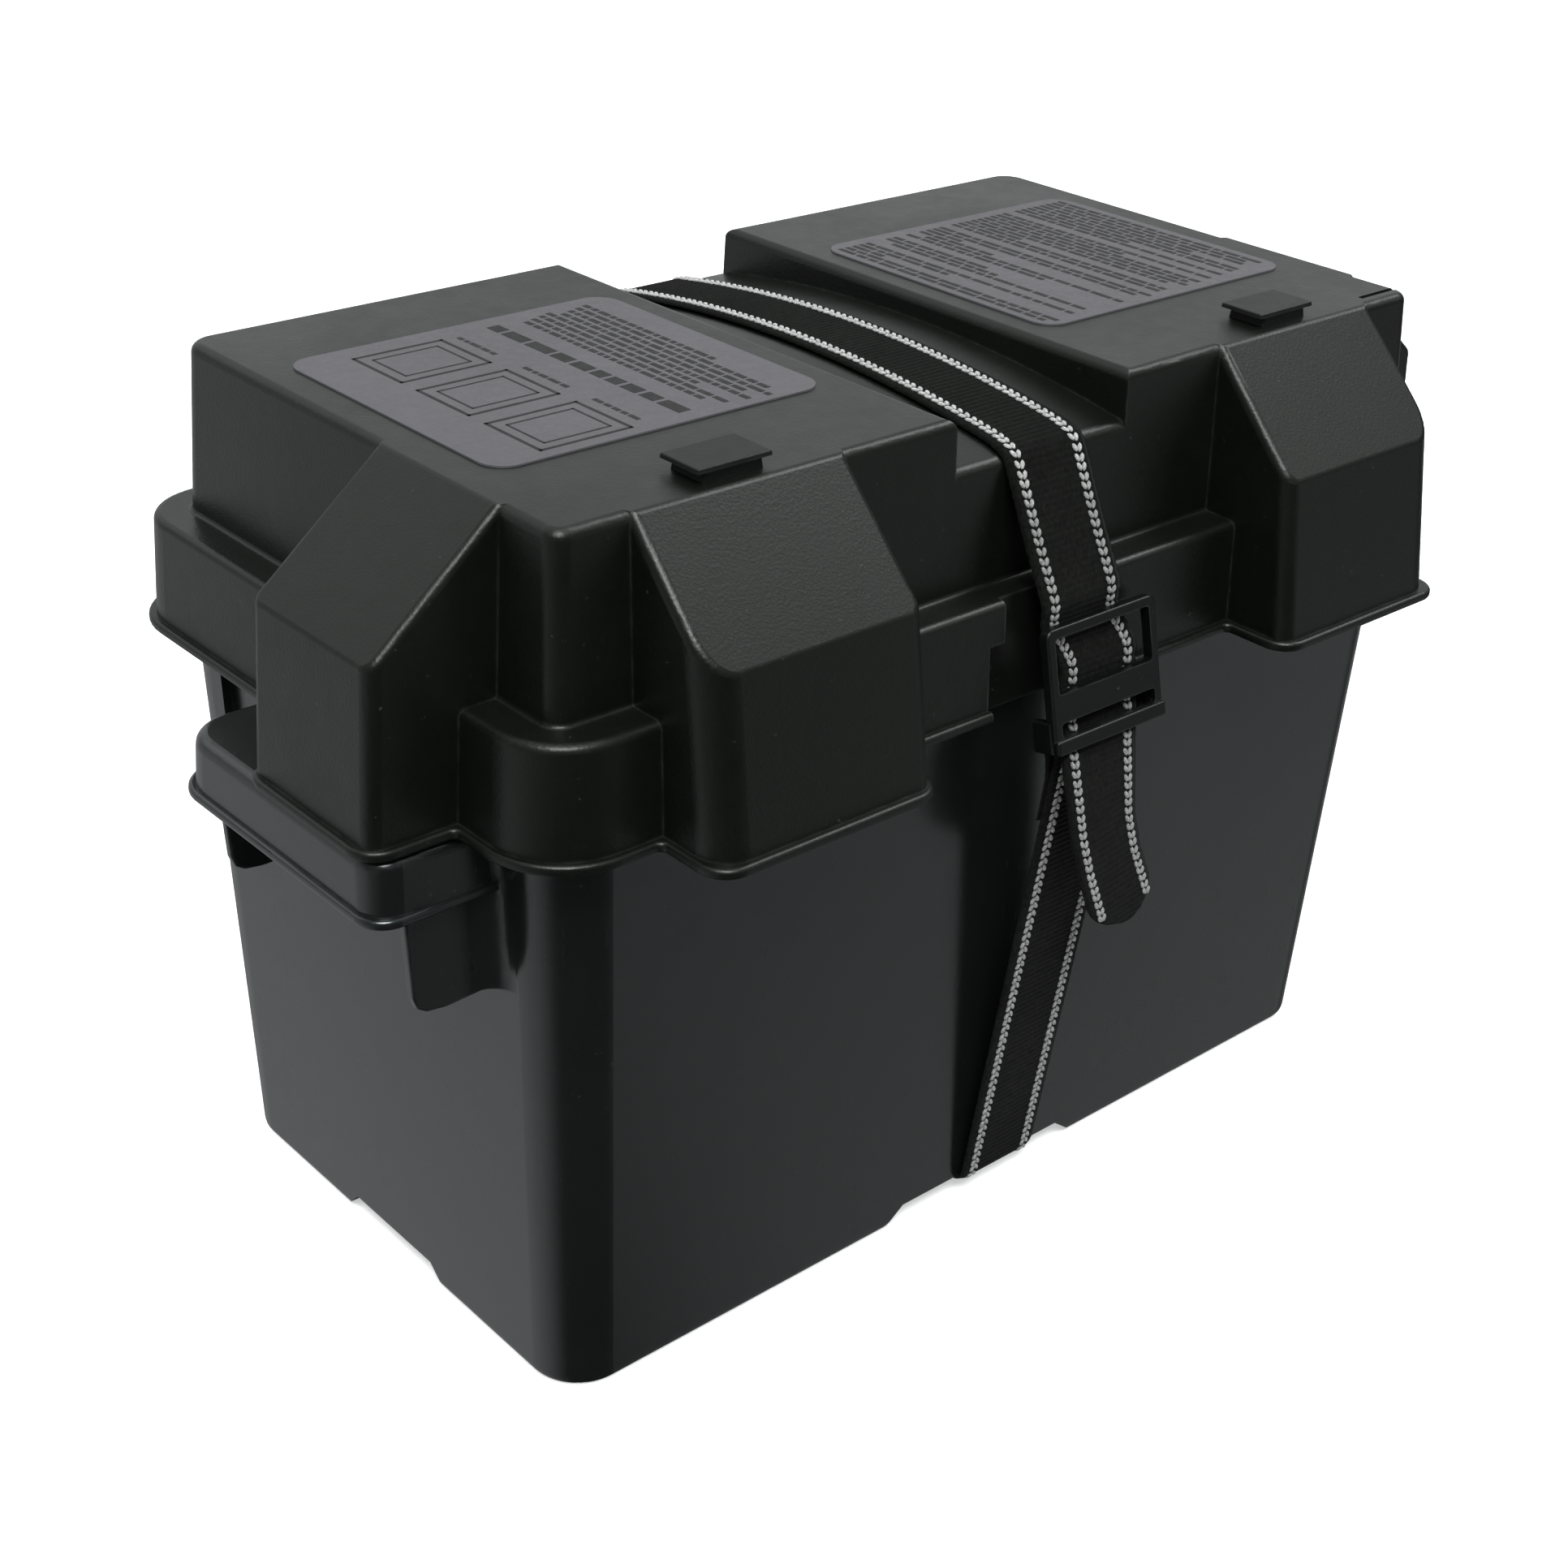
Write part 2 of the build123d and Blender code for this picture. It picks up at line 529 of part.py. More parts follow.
# ---------------------------------------------------------------------------
# battery spacer: a lift-out wall that shortens the bay for a smaller battery
# ---------------------------------------------------------------------------
def battery_spacer():
    bottom = CHANNEL_DEPTH + FLOOR + 0.3
    low_half = tub_half(bottom, WALL)[1] - SPACER_SIDE_GAP
    high_half = tub_half(SPACER_TOP, WALL)[1] - SPACER_SIDE_GAP
    face_x = SPACER_X - SPACER_THICK / 2
    panel = yz_prism([(-low_half, bottom), (low_half, bottom),
                      (high_half, SPACER_TOP), (-high_half, SPACER_TOP)],
                     face_x, SPACER_X + SPACER_THICK / 2)
    corners = [e for e in panel.edges() if e.center().Z > SPACER_TOP - 1
               and abs(e.center().Y) > 50 and abs(e.center().X - SPACER_X) < 0.1]
    panel = soften(panel, corners, (10.0, 6.0))
    # stiffeners on the -X face, away from the battery: y0, y1, z0, z1
    stiffeners = [(y - 1.1, y + 1.1, bottom + 4, SPACER_TOP - 12)
                  for y in (-60.0, -20.0, 20.0, 60.0)]
    stiffeners += [(-60, 60, SPACER_TOP - 14, SPACER_TOP - 11.6), (-60, 60, 80, 82.4)]
    for extent in stiffeners:
        panel = panel + slab(face_x - 6.0, face_x + 0.2, *extent)
    slot = extrude(SlotOverall(70, 22, rotation=90), amount=20, both=True)
    return solid_of(panel - Pos(SPACER_X, 0, SPACER_TOP - 30) * Rot(0, 90, 0) * slot)


# ---------------------------------------------------------------------------
# buckle: a three-bar slider, drawn in its own plane
# local x = X, local y = up along the frame, local z = outwards
# ---------------------------------------------------------------------------
def buckle_to_box(up, out):
    """Box (y, z) of a point in the buckle's own plane."""
    cos_tilt, sin_tilt = math.cos(BUCKLE_TILT), math.sin(BUCKLE_TILT)
    return (BUCKLE_CENTRE[1] + up * sin_tilt - out * cos_tilt,
            BUCKLE_CENTRE[2] + up * cos_tilt + out * sin_tilt)


def rounded_bar(x0, x1, y0, y1, z0, z1, radius):
    bar = Solid.make_box(x1 - x0, y1 - y0, z1 - z0).locate(Location((x0, y0, z0)))
    return soften(bar, bar.edges(), (radius,))


def strap_buckle():
    half_w, half_h = BUCKLE_HALF_W, BUCKLE_HALF_H

    def slot(y0, y1, shift):
        return prism((-half_w + 3.4, half_w - 3.4, y0, y1, 1.2, -6),
                     (-half_w + 3.2, half_w - 3.2, y0 + shift, y1 + shift, 1.2, 6))

    frame = prism(centred(half_w, half_h, 3.0, -1.6),
                  centred(half_w - 0.3, half_h - 0.3, 2.8, 2.0))
    frame = soften(frame, list(top_edges(frame)) + list(bottom_edges(frame)), (0.8, 0.5))
    frame = frame - slot(-1.2, half_h - 3.4, 0.2) - slot(-half_h + 4.8, -9.6, -0.2)
    # the lower bar is set forward, so the free end leaves behind it
    frame = frame - slab(-half_w + 3.4, half_w - 3.4, -half_h - 1, -half_h + 6, -3, 0.4)
    frame = frame + rounded_bar(-half_w, half_w, -half_h, -half_h + 4.6, 0.4, 3.2, 0.9)
    # rear cheeks and the anchor bar for the sewn loop
    for side in (-1, 1):
        x = side * (half_w - 1.6)
        frame = frame + rounded_bar(x - 1.6, x + 1.6, -half_h, -half_h + 10.0, -7.4, 0.5, 0.8)
    anchor = Cylinder(1.5, 2 * half_w - 2.0)
    frame = frame + Pos(0, ANCHOR_UP, ANCHOR_OUT) * Rot(0, 90, 0) * anchor
    outwards = (0, -math.cos(BUCKLE_TILT), math.sin(BUCKLE_TILT))
    plane = Plane(origin=BUCKLE_CENTRE, x_dir=(1, 0, 0), z_dir=outwards)
    return plane.location * solid_of(frame)


# ---------------------------------------------------------------------------
# strap: paths are (y, z) points along the centre line of the webbing
# ---------------------------------------------------------------------------
ANCHOR = buckle_to_box(ANCHOR_UP, ANCHOR_OUT)
NOSE_Y, NOSE_Z = 89.3, 258.3               # centre of the bend round the channel's ends
BEND_RADIUS = NOSE_RADIUS + STRAP_LIFT


def ribbon(path, x_centre):
    """Flat webbing of constant thickness along a path."""
    offsets = []
    for i in range(len(path)):
        before = path[max(i - 1, 0)]
        after = path[min(i + 1, len(path) - 1)]
        dy, dz = after[0] - before[0], after[1] - before[1]
        scale = STRAP_THICK / 2 / math.hypot(dy, dz)
        offsets.append((-dz * scale, dy * scale))
    one_side = [(y + oy, z + oz) for (y, z), (oy, oz) in zip(path, offsets)]
    other_side = [(y - oy, z - oz) for (y, z), (oy, oz) in zip(path, offsets)]
    return yz_prism(one_side + other_side[::-1],
                    x_centre - STRAP_WIDTH / 2, x_centre + STRAP_WIDTH / 2)


def arc_points(y, z, radius, start, end, steps):
    """Points round (y, z), from start to end in degrees."""
    angles = [math.radians(start + (end - start) * i / steps) for i in range(steps + 1)]
    return [(y + radius * math.cos(a), z + radius * math.sin(a)) for a in angles]


def strap_upper_run():
    """Over the lid, from the back of the channel to the buckle."""
    stations = (88.3, 84, 70, 55, 40, 20, 0, -20, -40, -55, -70, -80, -85)
    over = [(y, channel_floor_z(y) + STRAP_LIFT) for y in stations]
    bend = arc_points(-NOSE_Y, NOSE_Z, BEND_RADIUS, 101, 161, 6)
    return ribbon(over + bend + [buckle_to_box(BUCKLE_HALF_H + 2.2, -2.9)], STRAP_X)


def strap_tail():
    """Free end hanging below the buckle."""
    path = [(-124.6, 169.8), (-127.6, 150.0), (-129.6, 132.0), (-130.6, 117.0)]
    return ribbon(path, STRAP_X_TAIL)


def strap_back_run():
    """Down the back of the lid."""
    bend = arc_points(NOSE_Y, NOSE_Z, BEND_RADIUS, 50, 19, 4)
    return ribbon(bend + [(104.9, 227.4), (105.2, 223.0), (105.2, 191.0)], STRAP_X)


def strap_lower_run():
    """Down the back of the tub, under it, and up the front to the anchor loop."""
    path = [(tub_half(z)[1] + 1.2, z) for z in (187.0, 100.0, 16.0)]
    radius = 3.0
    bend_y = TUB_HALF_Y - 0.2
    bend_z = CHANNEL_DEPTH - STRAP_THICK / 2 - 0.3 + radius
    path += arc_points(bend_y, bend_z, radius, 0, -90, 5)
    path += arc_points(-bend_y, bend_z, radius, 270, 180, 5)
    return ribbon(path + [(ANCHOR[0] + 1.5, ANCHOR[1] - 5.2)], STRAP_X_LOW)


def strap_anchor_loop():
    """Sewn loop of the lower run, round the buckle's anchor bar."""
    loop = Cylinder(3.35, STRAP_WIDTH) - Cylinder(1.7, STRAP_WIDTH + 2)
    return solid_of(Pos(STRAP_X_LOW, *ANCHOR) * Rot(0, 90, 0) * loop)


save(lid_shell(), "lid_shell")
for end_name, end_side in (("left", -1), ("right", 1)):
    save(lid_cleat(end_side * CLEAT_X), f"lid_cleat_{end_name}")
    save(label_panel(end_side), f"label_panel_{end_name}")
save(base_tub(), "base_tub")
save(battery_spacer(), "battery_spacer")
save(strap_buckle(), "strap_buckle")
save(strap_anchor_loop(), "strap_anchor_loop")
save(strap_upper_run(), "strap_upper_run")
save(strap_tail(), "strap_tail")
save(strap_back_run(), "strap_back_run")
save(strap_lower_run(), "strap_lower_run")
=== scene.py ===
"""Looks, webbing strap, label print and studio for a lidded tub.

The tub stands on Z = 0 with its centre plane at Y = CENTRE_Y. Front, with the buckle, is -Y
and left is -X. Y values in mm are measured from the centre plane.
"""
import math
import random
import bmesh
import bpy
import numpy as np
from mathutils import Matrix, Vector


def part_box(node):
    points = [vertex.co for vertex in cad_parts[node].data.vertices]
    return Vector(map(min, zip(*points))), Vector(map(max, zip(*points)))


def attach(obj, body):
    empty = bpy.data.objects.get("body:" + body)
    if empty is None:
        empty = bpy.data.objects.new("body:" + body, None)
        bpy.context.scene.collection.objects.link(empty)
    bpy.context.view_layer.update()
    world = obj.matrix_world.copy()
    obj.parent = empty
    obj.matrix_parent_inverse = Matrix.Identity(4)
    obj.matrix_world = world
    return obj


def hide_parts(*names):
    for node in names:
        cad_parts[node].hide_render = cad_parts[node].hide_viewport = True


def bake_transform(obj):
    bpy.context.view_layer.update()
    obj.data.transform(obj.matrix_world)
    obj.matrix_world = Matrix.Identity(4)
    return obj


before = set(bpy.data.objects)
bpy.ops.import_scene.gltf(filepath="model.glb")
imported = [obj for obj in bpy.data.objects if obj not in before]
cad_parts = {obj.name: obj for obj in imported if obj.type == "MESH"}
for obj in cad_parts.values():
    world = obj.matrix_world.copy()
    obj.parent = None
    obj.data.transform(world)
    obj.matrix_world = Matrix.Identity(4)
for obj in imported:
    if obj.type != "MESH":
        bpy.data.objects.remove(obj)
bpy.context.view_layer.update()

MM = 0.001
CENTRE_Y = 11.8
WHITE = (1.0, 1.0, 1.0)

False      # the scene is built the same way on every run


# ---------------------------------------------------------------------------
# shader nodes
# ---------------------------------------------------------------------------
class Graph:
    """An emptied node tree, with short ways to add nodes to it."""

    def __init__(self, owner):
        owner.use_nodes = True
        self.tree = owner.node_tree
        self.tree.nodes.clear()
        self.coord = self.add("ShaderNodeTexCoord")

    def put(self, socket, value):
        if isinstance(value, bpy.types.NodeSocket):
            self.tree.links.new(value, socket)
        else:
            socket.default_value = value

    def add(self, kind, inputs=None, **settings):
        node = self.tree.nodes.new(kind)
        for key, value in settings.items():
            setattr(node, key, value)
        for key, value in (inputs or {}).items():
            self.put(node.inputs[key], value)
        return node

    def plus(self, a, b):
        return self.add("ShaderNodeMath", {0: a, 1: b}, operation="ADD").outputs[0]

    def times(self, a, b):
        return self.add("ShaderNodeMath", {0: a, 1: b}, operation="MULTIPLY").outputs[0]

    def dot(self, a, b):
        node = self.add("ShaderNodeVectorMath", {0: a, 1: b}, operation="DOT_PRODUCT")
        return node.outputs["Value"]

    def ramp(self, value, span, to=(0.0, 1.0), **settings):
        """Value mapped from span onto to, clamped."""
        inputs = {"Value": value, "From Min": span[0], "From Max": span[1],
                  "To Min": to[0], "To Max": to[1]}
        return self.add("ShaderNodeMapRange", inputs, **settings).outputs[0]


class Material(Graph):
    """One Principled material, textured in object coordinates."""

    def __init__(self, name):
        self.material = bpy.data.materials.new(name)
        super().__init__(self.material)
        output = self.add("ShaderNodeOutputMaterial")
        self.principled = self.add("ShaderNodeBsdfPrincipled")
        self.put(output.inputs[0], self.principled.outputs[0])

    def mapping(self, scale):
        inputs = {"Scale": scale, "Vector": self.coord.outputs["Object"]}
        return self.add("ShaderNodeMapping", inputs).outputs[0]

    def noise(self, scale, detail, rough, vector=None):
        inputs = {"Scale": scale, "Detail": detail, "Roughness": rough,
                  "Vector": vector or self.coord.outputs["Object"]}
        return self.add("ShaderNodeTexNoise", inputs).outputs["Fac"]

    def voronoi(self, scale):
        inputs = {"Scale": scale, "Vector": self.coord.outputs["Object"]}
        return self.add("ShaderNodeTexVoronoi", inputs).outputs["Distance"]

    def mix(self, factor, a, b):
        a, b = ((*c, 1.0) if isinstance(c, tuple) else c for c in (a, b))
        inputs = {"Factor": factor, 6: a, 7: b}
        return self.add("ShaderNodeMix", inputs, data_type="RGBA").outputs[2]

    def bump(self, height, depth, strength, normal=None):
        inputs = {"Strength": strength, "Distance": depth, "Height": height}
        if normal is not None:
            inputs["Normal"] = normal
        return self.add("ShaderNodeBump", inputs).outputs[0]

    def edge(self, radius):
        """0 on flats, towards 1 on convex and concave edges."""
        bevel = self.add("ShaderNodeBevel", {"Radius": radius}, samples=4)
        geometry = self.add("ShaderNodeNewGeometry")
        same = self.dot(bevel.outputs[0], geometry.outputs["Normal"])
        return self.ramp(same, span=(0.995, 0.90))

    def shade(self, inputs):
        for key, value in inputs.items():
            self.put(self.principled.inputs[key], value)
        return self.material


def scaled(colour, gain, lift=0.0):
    return tuple(min(1.0, c * gain + lift) for c in colour)


# ---------------------------------------------------------------------------
# materials: scales are per metre, bump depths and edge radii in metres
# ---------------------------------------------------------------------------
def moulded(name, base, wear_and_highlight, rough, grain=(1300.0, 0.00006), fine=(5200.0, 0.00002),
            specular=0.5, edge_radius=0.0012, rough_spread=0.06, streak=0.0, speck=0.25,
            tint=WHITE):
    """Moulded plastic: pebble grain, cloudy gloss, paler edges (rubbed wear and painted
    highlight), dust specks, rub streaks.

    grain and fine are (scale, depth); the colour after base is the colour of rubbed edges, with a
    painted highlight in it.
    """
    t = Material(name)
    grain_scale, grain_depth = grain
    fine_scale, fine_depth = fine
    cloud = t.noise(scale=9.0, detail=4.0, rough=0.6)
    patches = t.noise(scale=160.0, detail=3.0, rough=0.55)
    pebbles = t.voronoi(grain_scale)
    mottle = t.noise(scale=grain_scale * 0.8, detail=2.0, rough=0.6)
    micro = t.noise(scale=fine_scale, detail=2.0, rough=0.6)

    colour = t.mix(t.ramp(cloud, span=(0.32, 0.68)), scaled(base, 0.82), scaled(base, 1.2))
    specks = t.times(t.ramp(mottle, span=(0.42, 0.72)), speck)
    colour = t.mix(specks, colour, scaled(base, 1.9))
    # partly rubbed wear, partly painted highlight: convex and concave edges are blended patchily
    # towards the paler edge colour
    edge = t.edge(edge_radius)
    edge = t.times(edge, t.ramp(patches, span=(0.35, 0.7), to=(0.15, 0.8)))
    colour = t.mix(edge, colour, wear_and_highlight)
    dust = t.ramp(t.noise(scale=420.0, detail=2.0, rough=0.7), span=(0.71, 0.78))
    colour = t.mix(t.times(dust, 0.3), colour, scaled(wear_and_highlight, 2.4))

    gloss = t.ramp(cloud, span=(0.3, 0.7), to=(rough - rough_spread, rough + rough_spread))
    gloss = t.plus(gloss, t.ramp(patches, span=(0.3, 0.75), to=(-0.02, 0.03)))
    gloss = t.plus(gloss, t.times(edge, -0.05))
    if streak:
        stretched = t.mapping((34.0, 34.0, 3.2))    # long in Z
        rubs = t.noise(scale=22.0, detail=3.0, rough=0.65, vector=stretched)
        gloss = t.plus(gloss, t.times(t.ramp(rubs, span=(0.60, 0.74)), streak))

    normal = t.bump(pebbles, depth=grain_depth, strength=0.75)
    normal = t.bump(mottle, depth=grain_depth * 1.2, strength=0.7, normal=normal)
    normal = t.bump(micro, depth=fine_depth, strength=0.6, normal=normal)
    waves = t.noise(scale=14.0, detail=1.0, rough=0.4)
    normal = t.bump(waves, depth=0.0006, strength=0.25, normal=normal)
    return t.shade({"Base Color": colour, "Roughness": gloss, "Normal": normal,
                    "Specular IOR Level": specular, "Specular Tint": (*tint, 1.0)})


def woven(name, base, lite, rough=0.85):
    """Webbing yarn: colour streaks, cloudy shade and pale fuzz."""
    t = Material(name)
    yarn_space = t.mapping((2600.0, 500.0, 500.0))
    yarn = t.noise(scale=1.0, detail=2.0, rough=0.6, vector=yarn_space)
    fibre = t.noise(scale=900.0, detail=3.0, rough=0.6)
    cloud = t.noise(scale=45.0, detail=3.0, rough=0.6)
    colour = t.mix(t.ramp(yarn, span=(0.35, 0.7)), base, lite)
    shade = t.ramp(cloud, span=(0.35, 0.7), to=(0.0, 0.4))
    colour = t.mix(shade, colour, scaled(base, 0.6))
    fuzz = t.ramp(t.noise(scale=1700.0, detail=2.0, rough=0.7), span=(0.66, 0.74))
    colour = t.mix(t.times(fuzz, 0.35), colour, scaled(lite, 3.2, lift=0.02))
    normal = t.bump(yarn, depth=0.00010, strength=0.8)
    normal = t.bump(fibre, depth=0.00008, strength=0.6, normal=normal)
    gloss = t.ramp(fibre, span=(0.3, 0.7), to=(rough - 0.1, rough + 0.08))
    return t.shade({"Base Color": colour, "Roughness": gloss, "Normal": normal,
                    "Specular IOR Level": 0.045, "Sheen Weight": 0.015,
                    "Sheen Roughness": 0.5})


def cord(name, base, dark, painted_shade_below=None):
    """Braided cord; the optional last argument is (low Z, high Z, share of black below the low
    Z): a painted shade that darkens the cord below the low Z, where it gets less light than on
    the lid's top.
    """
    t = Material(name)
    braid = t.noise(scale=1500.0, detail=2.0, rough=0.6)
    cloud = t.noise(scale=60.0, detail=3.0, rough=0.6)
    colour = t.mix(t.ramp(braid, span=(0.35, 0.7)), dark, base)
    shade = t.ramp(cloud, span=(0.45, 0.75), to=(0.0, 0.35))
    colour = t.mix(shade, colour, scaled(base, 0.72))
    # painted shade: below the low Z the cord colour is blended towards black, standing in for the
    # lower light on the runs down the front
    if painted_shade_below:
        low, high, black = painted_shade_below
        axes = t.add("ShaderNodeSeparateXYZ", {0: t.coord.outputs["Object"]})
        share = t.ramp(axes.outputs[2], span=(low, high), to=(black, 0.0))
        colour = t.mix(share, colour, (0.0, 0.0, 0.0))
    gloss = t.ramp(braid, span=(0.3, 0.7), to=(0.55, 0.8))
    return t.shade({"Base Color": colour, "Roughness": gloss,
                    "Normal": t.bump(braid, depth=0.00012, strength=0.7),
                    "Specular IOR Level": 0.2, "Sheen Weight": 0.08})


def film(name, base, painted_edge_light, specular=0.45):
    """Thin printed film with a faint grain, and painted lighter edges that offset the shade along
    them.
    """
    t = Material(name)
    grain = t.noise(scale=1100.0, detail=2.0, rough=0.6)
    cloud = t.noise(scale=16.0, detail=4.0, rough=0.6)
    smear = t.noise(scale=240.0, detail=3.0, rough=0.7)
    colour = t.mix(t.ramp(cloud, span=(0.3, 0.7)), scaled(base, 0.9), scaled(base, 1.1))
    pale = t.ramp(grain, span=(0.4, 0.75), to=(0.0, 0.3))
    colour = t.mix(pale, colour, scaled(base, 1.35))
    # painted light: the film's edges are blended towards a lighter colour to offset the dark
    # shade along them
    colour = t.mix(t.edge(0.0004), colour, painted_edge_light)
    normal = t.bump(grain, depth=0.00004, strength=0.7)
    normal = t.bump(cloud, depth=0.0004, strength=0.15, normal=normal)
    gloss = t.ramp(smear, span=(0.3, 0.7), to=(0.46, 0.6))
    return t.shade({"Base Color": colour, "Roughness": gloss, "Normal": normal,
                    "Specular IOR Level": specular})


# the paler second colour of each plastic marks rubbed edges and also carries a painted edge
# highlight
lid_plastic = moulded("lid_plastic", base=(0.0022, 0.0027, 0.0021), wear_and_highlight=(0.024, 0.026, 0.024),
                      rough=0.36, grain=(1150.0, 0.00004), specular=0.29,
                      tint=(0.96, 1.0, 0.95))
tub_plastic = moulded("tub_plastic", base=(0.0036, 0.0042, 0.0040), wear_and_highlight=(0.024, 0.026, 0.026),
                      rough=0.22, grain=(1500.0, 0.000010), fine=(4200.0, 0.000007),
                      specular=0.58, speck=0.12, streak=0.07, rough_spread=0.03,
                      tint=(0.94, 0.995, 1.0))
cleat_plastic = moulded("cleat_plastic", base=(0.0026, 0.0029, 0.0026),
                        wear_and_highlight=(0.014, 0.014, 0.014), rough=0.42, specular=0.20,
                        grain=(2200.0, 0.00004))
buckle_plastic = moulded("buckle_plastic", base=(0.0020, 0.0023, 0.0021),
                         wear_and_highlight=(0.036, 0.038, 0.038), rough=0.32, specular=0.22,
                         grain=(2400.0, 0.00003), edge_radius=0.0006)
spacer_plastic = moulded("spacer_plastic", base=(0.022, 0.0225, 0.023),
                         wear_and_highlight=(0.07, 0.07, 0.072), rough=0.5, grain=(1200.0, 0.00005))
# painted light on the edges of the label film and of the print blocks
label_film = film("label_film", base=(0.050, 0.048, 0.053), painted_edge_light=(0.066, 0.064, 0.070))
label_ink = film("label_print", base=(0.006, 0.006, 0.006), painted_edge_light=(0.008, 0.008, 0.008),
                 specular=0.22)
web = woven("webbing", base=(0.0014, 0.0017, 0.0013), lite=(0.0066, 0.0074, 0.0062))
# painted shade: the tracer is darkened below Z 0.244 m, on the runs below the lid's top
tracer = cord("tracer_cord", base=(0.43, 0.43, 0.42), dark=(0.20, 0.20, 0.20),
              painted_shade_below=(0.244, 0.262, 0.48))
# a spare thread material, on no piece
cord("stitch_thread", base=(0.05, 0.05, 0.052), dark=(0.02, 0.02, 0.02))

NODE_MATERIALS = {
    "base_tub": tub_plastic, "lid_shell": lid_plastic,
    "lid_cleat_left": cleat_plastic, "lid_cleat_right": cleat_plastic,
    "label_panel_left": label_film, "label_panel_right": label_film,
    "strap_buckle": buckle_plastic, "battery_spacer": spacer_plastic,
    "strap_anchor_loop": web, "strap_upper_run": web, "strap_lower_run": web,
    "strap_back_run": web, "strap_tail": web}
for node_name, node_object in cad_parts.items():
    node_object.data.materials.clear()
    node_object.data.materials.append(NODE_MATERIALS[node_name])


# ---------------------------------------------------------------------------
# meshes
# ---------------------------------------------------------------------------
def new_mesh(name, verts, faces):
    """Mesh from vertices in mm about the centre plane."""
    mesh = bpy.data.meshes.new(name)
    mesh.from_pydata([(x * MM, (y + CENTRE_Y) * MM, z * MM) for x, y, z in verts], [], faces)
    return mesh


def add_object(mesh, materials):
    """Face normals outwards, materials on, object into the scene."""
    bm = bmesh.new()
    bm.from_mesh(mesh)
    bmesh.ops.recalc_face_normals(bm, faces=bm.faces)
    bm.to_mesh(mesh)
    bm.free()
    for material in materials:
        mesh.materials.append(material)
    obj = bpy.data.objects.new(mesh.name, mesh)
    bpy.context.scene.collection.objects.link(obj)
    return obj


# ---------------------------------------------------------------------------
# webbing
# ---------------------------------------------------------------------------
STRAP_WIDTH, STRAP_THICK = 33.5, 1.5
HALF_THICK = STRAP_THICK / 2
STEP = 1.0 / 3.0                    # ring spacing along the strap
SMOOTH_REACH = 1.2                  # smoothing reach each way along the path
SECTION_POINTS = 17                 # across one face
RIB_PITCH, RIB_RISE, RIB_SINK = 2.0, 0.34, 0.26
EDGE_WAVE, EDGE_PITCH = 0.10, 3.2   # waviness of the selvedges
CORD_TRACK = 11.9                   # cord centre line from the strap's middle
CORD_PITCH = 2.85
CORD_MARGIN = 2.2                   # webbing needed outside a track
BEAD_RADII = (0.80, 1.46, 0.62)     # across, along, up
BEAD_SIDE, BEAD_LEAD = 0.92, 0.06   # off the track (mm), along it (share of pitch)
BEAD_LIFT, BEAD_ANGLE = 0.10, 25.0


def lengths_along(points):
    return np.r_[0, np.cumsum(np.linalg.norm(np.diff(points, axis=0), axis=1))]


def even_steps(points, count):
    """The path cut into count equal steps, with the distances they were cut at."""
    dist = lengths_along(points)
    cuts = np.linspace(0, dist[-1], count + 1)
    columns = [np.interp(cuts, dist, points[:, i]) for i in range(points.shape[1])]
    return np.stack(columns, 1), cuts


def resample(path):
    """Smooth a given path a little and cut it to even steps."""
    points = np.array(path, float)
    count = max(4, int(round(lengths_along(points)[-1] / STEP)))
    points, _ = even_steps(points, count)
    reach = max(1, int(round(SMOOTH_REACH / STEP)))
    for _ in range(3):
        smooth = points.copy()
        for i in range(1, len(points) - 1):
            w = min(reach, i, len(points) - 1 - i)
            smooth[i] = points[i - w:i + w + 1].mean(0)
        points = smooth
    return even_steps(points, count)


def unit_bead(around=7, down=4):
    """Unit sphere of triangles at its poles and quads between."""
    verts, faces = [(0, 0, 1)], []
    for j in range(1, down):
        polar = math.pi * j / down
        for i in range(around):
            turn = 2 * math.pi * i / around
            verts.append((math.sin(polar) * math.cos(turn), math.sin(polar) * math.sin(turn),
                          math.cos(polar)))
    verts.append((0, 0, -1))
    last, low = len(verts) - 1, 1 + (down - 2) * around
    for i in range(around):
        after = (i + 1) % around
        faces.append((0, 1 + i, 1 + after))
        faces.append((last, low + after, low + i))
    for j in range(down - 2):
        a, b = 1 + j * around, 1 + (j + 1) * around
        for i in range(around):
            after = (i + 1) % around
            faces.append((a + i, b + i, b + after, a + after))
    return np.array(verts, float), faces


class Ribbon:
    """Even stations along a strap path, and places measured from them."""

    def __init__(self, path, flip, round_end):
        path = [tuple(row) + (0.0,) * (4 - len(row)) for row in path]
        points, self.dist = resample(path)
        twist = np.radians(points[:, 3])
        self.cos, self.sin = np.cos(twist), np.sin(twist)
        self.mid = points[:, :3]
        self.count = len(points)
        self.length = self.dist[-1]
        self.tangent = np.gradient(self.mid[:, 1:], axis=0)
        self.tangent /= np.linalg.norm(self.tangent, axis=1)[:, None]
        self.normal = np.stack([-self.tangent[:, 1], self.tangent[:, 0]], 1)
        if flip:
            self.normal = -self.normal
        self.half_width = np.full(self.count, STRAP_WIDTH / 2)
        for i in range(self.count):
            left = self.length - self.dist[i]
            if left < round_end:
                share = max(0.0, 1 - (1 - left / round_end) ** 2) ** 0.5
                self.half_width[i] = STRAP_WIDTH / 2 * max(share, 0.06)

    def place(self, i, across, out, along=0.0):
        x, y, z = self.mid[i]
        rise = across * self.sin[i] + out * self.cos[i]
        (ty, tz), (ny, nz) = self.tangent[i], self.normal[i]
        return (x + (across * self.cos[i] - out * self.sin[i]),
                y + ty * along + ny * rise, z + tz * along + nz * rise)


